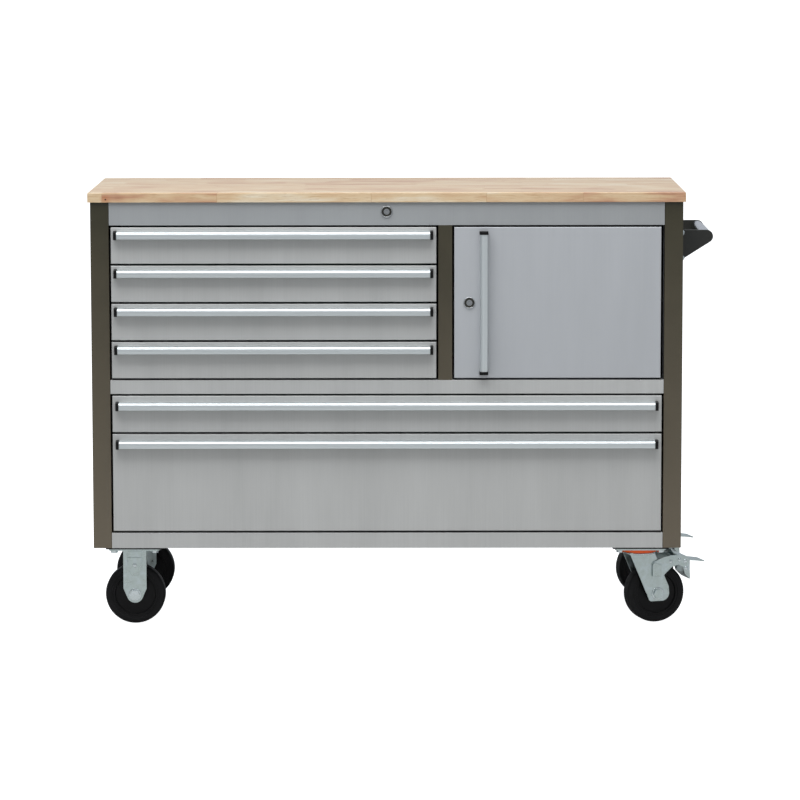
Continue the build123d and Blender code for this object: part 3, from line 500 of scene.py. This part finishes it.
def turned(outline, segments):
    # A closed outline of (along, radius) turned about local Z
    shape = bmesh.new()
    rings = []
    for step in range(segments):
        angle = 2 * math.pi * step / segments
        rings.append([shape.verts.new((radius * math.cos(angle), radius * math.sin(angle), along))
                      for along, radius in outline])
    count = len(outline)
    for step in range(segments):
        here, following = rings[step], rings[(step + 1) % segments]
        for index in range(count):
            after = (index + 1) % count
            shape.faces.new((here[index], here[after], following[after], following[index]))
    return shape


def dome(radius, height, rings=5, spokes=24):
    # A low pressed bump or button head, standing along local Z
    shape = bmesh.new()
    rows = []
    for ring in range(1, rings + 1):
        tilt = math.pi / 2 * ring / rings
        rows.append([shape.verts.new((radius * math.sin(tilt) * math.cos(angle),
                                      radius * math.sin(tilt) * math.sin(angle), height * math.cos(tilt)))
                     for angle in (2 * math.pi * spoke / spokes for spoke in range(spokes))])
    top = shape.verts.new((0, 0, height))
    for spoke in range(spokes):
        after = (spoke + 1) % spokes
        shape.faces.new((top, rows[0][spoke], rows[0][after]))
        for inner, outer in zip(rows, rows[1:]):
            shape.faces.new((inner[spoke], outer[spoke], outer[after], inner[after]))
    shape.faces.new(rows[-1])
    return shape


def joinShape(whole, part):
    # Moves part's mesh into whole
    spare = bpy.data.meshes.new("spare")
    part.to_mesh(spare)
    part.free()
    whole.from_mesh(spare)
    bpy.data.meshes.remove(spare)


def axisPlace(centre, axis):
    # Local Z along axis, at centre
    return Matrix.Translation(centre) @ Vector(axis).to_track_quat("Z", "Y").to_matrix().to_4x4()


# Pulls: a hooked aluminium extrusion between two moulded caps

pull = {
    "capLength": 6.3 * mm,
    "capLip": 1.5 * mm,
    "wall": 1.8 * mm,
    "frontRound": 6.5 * mm,
    "lipRound": 0.84 * mm,
    "backRound": 0.4 * mm,
    "foldRound": 0.8 * mm,
    "flangeRound": 0.5 * mm,
    "capRound": 3.4 * mm,
    "capFootRound": 2.04 * mm,
    "capBackRound": 0.8 * mm,
    "capEdge": 0.7 * mm,
}


def hookOutline(depth, top, foot):
    # From the back flange over the front, round the finger lip and back along the inside
    wall = pull["wall"]
    return roundedOutline([
        (0, top, pull["backRound"]),
        (-depth, top, pull["frontRound"]),
        (-depth, foot, pull["lipRound"]),
        (-depth + wall, foot, pull["lipRound"]),
        (-depth + wall, top - wall, pull["frontRound"] - wall),
        (-wall, top - wall, pull["foldRound"]),
        (-wall, foot, pull["flangeRound"]),
        (0, foot, pull["flangeRound"]),
    ])


def capOutline(depth, top, foot):
    lip = pull["capLip"]
    return roundedOutline([
        (0, top + lip, pull["capBackRound"]),
        (-depth - lip, top + lip, pull["capRound"]),
        (-depth - lip, foot - lip, pull["capFootRound"]),
        (0, foot - lip, pull["capBackRound"]),
    ])


def buildPull(node, body):
    low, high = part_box(node)
    size = high - low
    middle = (low + high) / 2
    upright = size.z > size.x
    length = size.z if upright else size.x
    top = (size.x if upright else size.z) / 2 - pull["capLip"]
    depth = size.y - pull["capLip"]
    # Local X runs along the pull, local Y towards the front sheet and local Z up, with the gap below
    turn = Matrix.Rotation(math.radians(-90), 4, "Y") if upright else Matrix.Identity(4)
    place = Matrix.Translation((middle.x, high.y, middle.z)) @ turn
    half = length / 2 - pull["capLength"]
    bar = finishPiece(node + "_bar", extruded(hookOutline(depth, top, -top), -half, half),
                      finish["aluminium"], body, place)
    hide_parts(node)
    sides = ("low", "high") if upright else ("left", "right")
    for side, start, end in ((sides[0], -length / 2, -half), (sides[1], half, length / 2)):
        cap = finishPiece(f"{node}_cap_{side}", extruded(capOutline(depth, top, -top), start, end),
                          finish["blackPlastic"], body, place)
        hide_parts(node)
        softenEdges(cap, pull["capEdge"])


for number in range(1, 7):
    buildPull(f"drawer_{number}_pull", f"drawer_{number}")
buildPull("door_pull", "door")
print("pulls built")


# Wheels: a solid rubber tyre on a moulded core

wheel = {
    "width": 36 * mm,
    "radius": 62 * mm,
    "tyreInner": 47 * mm,
    "tyreCorner": 0.5 * mm,
    "shoulder": 8 * mm,
    "ringRadius": 50 * mm,       # a groove moulded round each sidewall
    "ringReach": 1.2 * mm,
    "ringDepth": 0.7 * mm,
    "ringCorner": 0.3 * mm,
    "rimWidth": 34 * mm,
    "rimThickness": 5 * mm,
    "webWidth": 24 * mm,
    "hubRadius": 17 * mm,
    "hubWidth": 44 * mm,
    "boreRadius": 5.1 * mm,
    "segments": 96,
}


def tyreOutline():
    half, ring, corner = wheel["width"] / 2, wheel["ringRadius"], wheel["ringCorner"]
    side = [
        (half, wheel["radius"], wheel["shoulder"]),
        (half, ring + wheel["ringReach"], corner),
        (half - wheel["ringDepth"], ring, corner),
        (half, ring - wheel["ringReach"], corner),
        (half, wheel["tyreInner"], wheel["tyreCorner"]),
    ]
    return roundedOutline(mirrored(side) + side, steps=8)


def coreOutline():
    rim, web, hub = wheel["rimWidth"] / 2, wheel["webWidth"] / 2, wheel["hubWidth"] / 2
    outer, inner = wheel["tyreInner"], wheel["tyreInner"] - wheel["rimThickness"]
    side = [
        (rim, outer, 0.3 * mm),
        (rim, inner, 1.0 * mm),
        (web, inner, 2.0 * mm),
        (web, wheel["hubRadius"], 2.5 * mm),
        (hub, wheel["hubRadius"], 1.0 * mm),
        (hub, wheel["boreRadius"], 0.6 * mm),
    ]
    return roundedOutline(side + mirrored(side), steps=4)


def buildWheel(node, joint):
    place = axisPlace(Vector(joints[joint]["pos_m"]), joints[joint]["axis"])
    tyre = finishPiece(node + "_tyre", turned(tyreOutline(), wheel["segments"]), finish["rubber"], node,
                       place)
    core = finishPiece(node + "_core", turned(coreOutline(), wheel["segments"]), finish["wheelCore"], node,
                       place)
    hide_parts(node)
    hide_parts(node)


casters = [(end, side) for end in ("front", "rear") for side in ("left", "right")]
for end, side in casters:
    buildWheel(f"wheel_{end}_{side}", f"wheel_{end}_{side}_spin")
print("wheels built")


# Locks: a turned chrome bezel with a recess round the key plug; recess and plug are a darker chrome, painted shade

lock = {
    "proud": 2.5 * mm,
    "chamfer": 0.9 * mm,
    "outerRadius": 12.25 * mm,
    "faceRadius": 11.6 * mm,
    "crownRadius": 10.4 * mm,
    "recessRadius": 9.4 * mm,
    "recess": 1.6 * mm,
    "plugRadius": 6.1 * mm,
    "barrelRadius": 9.5 * mm,
    "barrelLength": 20 * mm,
    "bezelSegments": 72,
    "barrelSegments": 48,
}


def bezelOutline():
    proud = lock["proud"]
    return roundedOutline([
        (proud, lock["outerRadius"], 0.2 * mm),
        (lock["chamfer"], lock["outerRadius"], 0.8 * mm),
        (0, lock["faceRadius"], 0.7 * mm),
        (0, lock["crownRadius"], 0.5 * mm),
        (lock["recess"], lock["recessRadius"], 0.3 * mm),
        (proud, lock["recessRadius"], 0.1 * mm),
    ], steps=5)


def barrelOutline():
    proud = lock["proud"]
    end = lock["barrelLength"] + proud
    return roundedOutline([
        (lock["recess"], lock["recessRadius"], 0.2 * mm),
        (lock["recess"], lock["plugRadius"], 0.2 * mm),
        (end, lock["plugRadius"], 0.2 * mm),
        (end, lock["barrelRadius"], 0.4 * mm),
        (proud, lock["barrelRadius"], 0.2 * mm),
        (proud, lock["recessRadius"], 0.1 * mm),
    ], steps=3)


def buildLock(node, body):
    low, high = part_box(node)
    place = axisPlace(((low.x + high.x) / 2, low.y, (low.z + high.z) / 2), (0, 1, 0))
    bezel = finishPiece(node + "_bezel", turned(bezelOutline(), lock["bezelSegments"]), finish["chrome"],
                        body, place)
    # The barrel's darker chrome is painted shade inside the bezel's recess
    barrel = finishPiece(node + "_barrel", turned(barrelOutline(), lock["barrelSegments"]),
                         finish["recessShadeChrome"], body, place)
    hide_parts(node)
    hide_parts(node)


buildLock("main_lock_housing", "cabinet")
buildLock("door_lock_housing", "door")
print("locks built")


# Caster trim: washers and pressed details that the plain steel parts lack

trim = {
    "legFace": 26 * mm,          # from the wheel's middle to the outside of a fork leg
    "armFace": 29.3 * mm,        # and to the outside of a brake arm
    "washerRadius": 13.2 * mm,
    "washerBore": 5.2 * mm,
    "washerThickness": 1.8 * mm,
    "washerRound": 0.7 * mm,
    # Outlines and places on a leg are in mm from the axle: (x, z), then a corner's or a dome's radius
    "dimples": [(27, 66), (46.5, 69), (59, 65.5), (60.5, 51)],
    "dimpleRadius": 4.2,
    "dimpleHeight": 1.5 * mm,
    "cover": [(-13, 37, 1), (7, 34, 2), (7, 60, 1), (-9, 66, 2), (-13, 62, 1)],
    "coverRound": 0.6 * mm,
    "rib": [(-15.2, 55, 6), (-6.5, 39, 4), (6.5, 39, 4), (15.2, 55, 6), (15.2, 79, 1), (-15.2, 79, 1)],
    "ribRound": 1.1 * mm,
    "ribDimples": [(0, 62)],
    "ribDimpleRadius": 4.5,
    "pressedHeight": 1.7 * mm,
    "pressedFoot": 0.4 * mm,     # how far a pressed shape reaches into the plate behind it
    "lipRadius": 33.4 * mm,
    "lipTube": 2.1 * mm,
    "lipSteps": 12,
    "lipSegments": 72,
    "washerSegments": 48,
}
swapXandY = Matrix(((0, 1, 0, 0), (1, 0, 0, 0), (0, 0, 1, 0), (0, 0, 0, 1)))


def casterPlace(joint):
    # Local X trails behind the swivel, local Y runs along the axle and local Z up, from the wheel's middle
    axle = Vector(joints[joint]["axis"])
    trailing = axle.cross(Vector((0, 0, 1)))
    turn = Matrix((trailing, axle, (0, 0, 1))).transposed().to_4x4()
    return Matrix.Translation(joints[joint]["pos_m"]) @ turn


def onBothSides(makeShape, spots, face):
    # The same shape at every (x, z) spot, standing out from both outside faces
    whole = bmesh.new()
    for side in (-1, 1):
        for x, z in spots:
            shape = makeShape()
            stand = axisPlace((x * mm, side * face, z * mm), (0, side, 0))
            bmesh.ops.transform(shape, matrix=stand, verts=shape.verts)
            joinShape(whole, shape)
    return whole


def domesOnBothSides(spots, radius, face):
    return onBothSides(lambda: dome(radius * mm, trim["dimpleHeight"]), spots, face)


def washerShape():
    thick, bore, outer = trim["washerThickness"], trim["washerBore"], trim["washerRadius"]
    outline = roundedOutline([(0, bore, 0), (0, outer, 0), (thick, outer, trim["washerRound"]),
                              (thick, bore, 0)], steps=4)
    return turned(outline, trim["washerSegments"])


def pressedShape(outline, face):
    # A pressed plate of that outline, standing out from both outside faces
    whole = bmesh.new()
    corners = [(x * mm, z * mm, radius * mm) for x, z, radius in outline]
    for side in (-1, 1):
        low, high = sorted((side * (face - trim["pressedFoot"]), side * (face + trim["pressedHeight"])))
        plate = extruded(roundedOutline(corners, steps=3), low, high)
        # extruded works along local X; here the axle is local Y
        bmesh.ops.transform(plate, matrix=swapXandY, verts=plate.verts)
        joinShape(whole, plate)
    return whole


def lipShape():
    # The crown's rolled edge, under the seal
    tube, steps = trim["lipTube"], trim["lipSteps"]
    outline = [(tube * math.sin(angle), trim["lipRadius"] + tube * math.cos(angle))
               for angle in (2 * math.pi * step / steps for step in range(steps))]
    return turned(outline, trim["lipSegments"])


def buildRigidTrim(end, spot):
    # Stiffening ribs, each with a dimple, on both legs of a fixed caster
    rib = finishPiece(f"caster_{end}_left_ribs", pressedShape(trim["rib"], trim["legFace"]),
                      finish["zinc"], "cabinet", spot)
    softenEdges(rib, trim["ribRound"], segments=3)
    onRib = trim["legFace"] + trim["pressedHeight"]
    finishPiece(f"caster_{end}_left_rib_dimples",
                domesOnBothSides(trim["ribDimples"], trim["ribDimpleRadius"], onRib),
                finish["freshZinc"], "cabinet", spot)


def buildSwivelTrim(end, spot):
    # Dimples and a pivot cover on the brake's arms, and the rolled lip of the swivel's crown
    finishPiece(f"brake_{end}_dimples",
                domesOnBothSides(trim["dimples"], trim["dimpleRadius"], trim["armFace"]),
                finish["freshZinc"], f"brake_{end}", spot)
    cover = finishPiece(f"brake_{end}_pivot_cover", pressedShape(trim["cover"], trim["armFace"]),
                        finish["zinc"], f"brake_{end}", spot)
    softenEdges(cover, trim["coverRound"])
    crown = Vector(joints[f"swivel_{end}_turn"]["pos_m"]) - Vector((0, 0, trim["lipTube"]))
    finishPiece(f"swivel_{end}_crown_lip", lipShape(), finish["freshZinc"], f"swivel_{end}",
                Matrix.Translation(crown))


for end, side in casters:
    spot = casterPlace(f"wheel_{end}_{side}_spin")
    fork = "cabinet" if side == "left" else f"swivel_{end}"
    finishPiece(f"caster_{end}_{side}_washers", onBothSides(washerShape, [(0, 0)], trim["legFace"]),
                finish["freshZinc"], fork, spot)
    if side == "left":
        buildRigidTrim(end, spot)
    else:
        buildSwivelTrim(end, spot)
print("caster trim built")


# Posts: black plastic plugs in the open feet of the four corner posts

plug = {
    "sheet": 1.5 * mm,
    "depth": 30 * mm,            # how far a post reaches behind its face
    "height": 4 * mm,
    "edge": 0.8 * mm,
}


def buildPostPlugs():
    plugs = bmesh.new()
    for side in ("left", "right"):
        low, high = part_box(f"side_panel_{side}")
        top = low.z + plug["height"]
        for front, back in ((low.y + plug["sheet"], low.y + plug["depth"]),
                            (high.y - plug["depth"], high.y - plug["sheet"])):
            foot = [(front, low.z), (back, low.z), (back, top), (front, top)]
            joinShape(plugs, extruded(foot, low.x + plug["sheet"], high.x - plug["sheet"]))
    piece = finishPiece("post_foot_plugs", plugs, finish["blackPlastic"], "cabinet")
    softenEdges(piece, plug["edge"])


buildPostPlugs()
print("post plugs built")


# Push handle: button heads on its screws

handle = {
    "plate": 3 * mm,
    "fromSide": 12 * mm,         # from the ends of the brackets to the screws
    "fromTop": 5.5 * mm,
    "headRadius": 6.4 * mm,
    "headHeight": 6 * mm,
}


def buildHandleScrews():
    low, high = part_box("push_handle_brackets")
    heads = bmesh.new()
    for y in (low.y + handle["fromSide"], high.y - handle["fromSide"]):
        for z in (low.z + handle["fromTop"], high.z - handle["fromTop"]):
            head = dome(handle["headRadius"], handle["headHeight"])
            stand = axisPlace((low.x + handle["plate"], y, z), (1, 0, 0))
            bmesh.ops.transform(head, matrix=stand, verts=head.verts)
            joinShape(heads, head)
    finishPiece("push_handle_screw_heads", heads, finish["freshZinc"], "cabinet")


buildHandleScrews()
print("handle screws built")


# Studio: pale floor, soft light, camera

studio = {
    "floorRadius": 90.0,
    "floorSegments": 96,
    "floorColour": "#cdccca",
    "floorLight": "#fdfeff",
    "floorGlow": 1.0,            # seen directly, the floor is a lit white table; it lights the chest less
    "sky": [(0.0, "#d6d8da"), (0.5, "#e2e6ea"), (1.0, "#eff6ff")],
    "skyAxis": (0.0, 0.45, 0.9),
    "skyFrom": -0.35,            # how far along that axis the colours start and end
    "skyTo": 0.85,
    "skyStrength": 0.6,
    "softboxPlace": (-0.3, -1.45, 3.3),
    "softboxSize": (3.8, 1.9),
    "softboxPower": 118.0,
}
camera = {
    "place": (0.0148, -8.1535, 1.4540),
    "pitch": 7.043,
    "yaw": 0.1415,
    "roll": -0.0756,
    "lens": 175.45,
    "sensor": 36.0,
    "reach": 500.0,
}


def makeFloor():
    material, tree, shader = newMaterial("pale_matt_floor",
                                         {"Roughness": 0.9, "Specular IOR Level": 0.2,
                                          "Base Color": linear(studio["floorColour"]),
                                          "Emission Color": linear(studio["floorLight"])})
    seenDirectly = addNode(tree, "ShaderNodeLightPath").outputs["Is Camera Ray"]
    glow = addNode(tree, "ShaderNodeMapRange", {"From Min": 0.0, "From Max": 1.0, "To Min": 0.0,
                                                "To Max": studio["floorGlow"]}, {"Value": seenDirectly})
    tree.links.new(glow.outputs["Result"], shader.inputs["Emission Strength"])
    shape = bmesh.new()
    bmesh.ops.create_circle(shape, cap_ends=True, segments=studio["floorSegments"],
                            radius=studio["floorRadius"])
    mesh = bpy.data.meshes.new("floor")
    shape.to_mesh(mesh)
    shape.free()
    mesh.materials.append(material)
    floor = bpy.data.objects.new("floor", mesh)
    bpy.context.scene.collection.objects.link(floor)


def makeSky():
    # Bright overhead and behind the chest, dimmer on the camera's side
    world = bpy.data.worlds.new("studio")
    world.use_nodes = True
    sky = world.node_tree
    background = sky.nodes["Background"]
    outwards = addNode(sky, "ShaderNodeTexCoord").outputs["Generated"]
    upAndBack = addNode(sky, "ShaderNodeVectorMath", {"operation": "DOT_PRODUCT", 1: studio["skyAxis"]},
                        {0: outwards}).outputs["Value"]
    height = addNode(sky, "ShaderNodeMapRange", {"From Min": studio["skyFrom"], "From Max": studio["skyTo"],
                                                 "To Min": 0.0, "To Max": 1.0}, {"Value": upAndBack})
    colour = addNode(sky, "ShaderNodeValToRGB", links={"Fac": height}, stops=studio["sky"])
    sky.links.new(colour.outputs["Color"], background.inputs["Color"])
    background.inputs["Strength"].default_value = studio["skyStrength"]
    bpy.context.scene.world = world


def makeSoftbox():
    lamp = bpy.data.lights.new("softbox", "AREA")
    lamp.shape = "RECTANGLE"
    lamp.size, lamp.size_y = studio["softboxSize"]
    lamp.energy = studio["softboxPower"]
    softbox = bpy.data.objects.new("softbox", lamp)
    softbox.location = studio["softboxPlace"]
    aim = (cadLow + cadHigh) / 2 - Vector(studio["softboxPlace"])
    softbox.rotation_euler = aim.to_track_quat("-Z", "Y").to_euler()
    bpy.context.scene.collection.objects.link(softbox)


def makeCamera():
    lens = bpy.data.cameras.new("camera")
    lens.lens = camera["lens"]
    lens.sensor_width = camera["sensor"]
    lens.clip_end = camera["reach"]
    viewer = bpy.data.objects.new("camera", lens)
    pitch, yaw, roll = (math.radians(camera[key]) for key in ("pitch", "yaw", "roll"))
    viewer.matrix_world = (Matrix.Translation(camera["place"]) @ Matrix.Rotation(yaw, 4, "Z")
                           @ Matrix.Rotation(math.pi / 2 - pitch, 4, "X") @ Matrix.Rotation(roll, 4, "Z"))
    bpy.context.scene.collection.objects.link(viewer)
    bpy.context.scene.camera = viewer


makeFloor()
makeSky()
makeSoftbox()
makeCamera()
bpy.context.scene.view_settings.view_transform = "Standard"
print("studio set")
